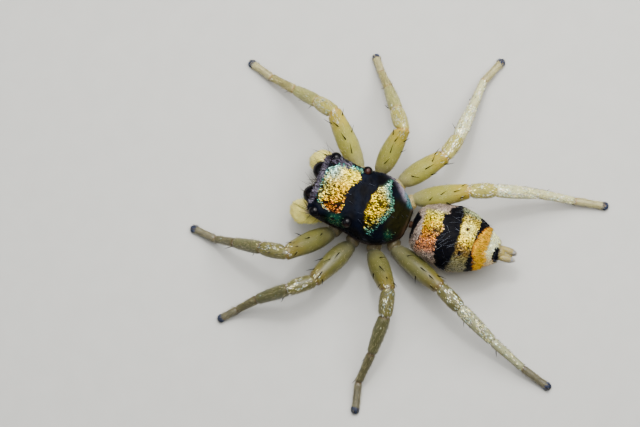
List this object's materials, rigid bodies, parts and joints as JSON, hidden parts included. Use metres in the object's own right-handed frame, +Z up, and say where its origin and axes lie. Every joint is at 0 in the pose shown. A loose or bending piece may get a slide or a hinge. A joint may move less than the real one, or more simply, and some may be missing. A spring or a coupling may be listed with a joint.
{
  "type": "banded jumping spider",
  "caption": "Still life-size jumping spider standing on spread legs, with a high square head, large front eyes and a banded egg-shaped abdomen.",
  "frame": {"origin": "centre of the spider's bounding box, on the floor that its feet stand on", "axes": "+Z up; the spider faces -Y and its left side is +X"},
  "size_m": [0.0084, 0.0086, 0.0017],
  "materials": {
    "shell": "glossy dark cuticle under bands of iridescent scales",
    "eye": "high gloss",
    "abdomen": "iridescent scales in bands",
    "leg": "translucent satin cuticle",
    "foot": "translucent satin cuticle",
    "palp": "soft satin",
    "mouth": "satin cuticle"
  },
  "bodies": {
    "root": {"carapace": "shell", "abdomen": "abdomen", "pedicel": "mouth", "spinnerets": "mouth", "sternum": "mouth", "mouthparts": "mouth", "chelicera_left": "mouth", "palp_left": "palp", "chelicera_right": "mouth", "palp_right": "palp", "eye_anterior_median_left": "eye", "eye_anterior_median_right": "eye", "eye_anterior_lateral_left": "eye", "eye_anterior_lateral_right": "eye", "eye_posterior_median_left": "eye", "eye_posterior_median_right": "eye", "eye_posterior_lateral_left": "eye", "eye_posterior_lateral_right": "eye", "leg_left_1_coxa": "leg", "leg_left_1_femur": "leg", "leg_left_1_patella": "leg", "leg_left_1_tibia": "leg", "leg_left_1_foot": "foot", "leg_left_2_coxa": "leg", "leg_left_2_femur": "leg", "leg_left_2_patella": "leg", "leg_left_2_tibia": "leg", "leg_left_2_foot": "foot", "leg_left_3_coxa": "leg", "leg_left_3_femur": "leg", "leg_left_3_patella": "leg", "leg_left_3_tibia": "leg", "leg_left_3_foot": "foot", "leg_left_4_coxa": "leg", "leg_left_4_femur": "leg", "leg_left_4_patella": "leg", "leg_left_4_tibia": "leg", "leg_left_4_foot": "foot", "leg_right_1_coxa": "leg", "leg_right_1_femur": "leg", "leg_right_1_patella": "leg", "leg_right_1_tibia": "leg", "leg_right_1_foot": "foot", "leg_right_2_coxa": "leg", "leg_right_2_femur": "leg", "leg_right_2_patella": "leg", "leg_right_2_tibia": "leg", "leg_right_2_foot": "foot", "leg_right_3_coxa": "leg", "leg_right_3_femur": "leg", "leg_right_3_patella": "leg", "leg_right_3_tibia": "leg", "leg_right_3_foot": "foot", "leg_right_4_coxa": "leg", "leg_right_4_femur": "leg", "leg_right_4_patella": "leg", "leg_right_4_tibia": "leg", "leg_right_4_foot": "foot"}
  },
  "joints": []
}
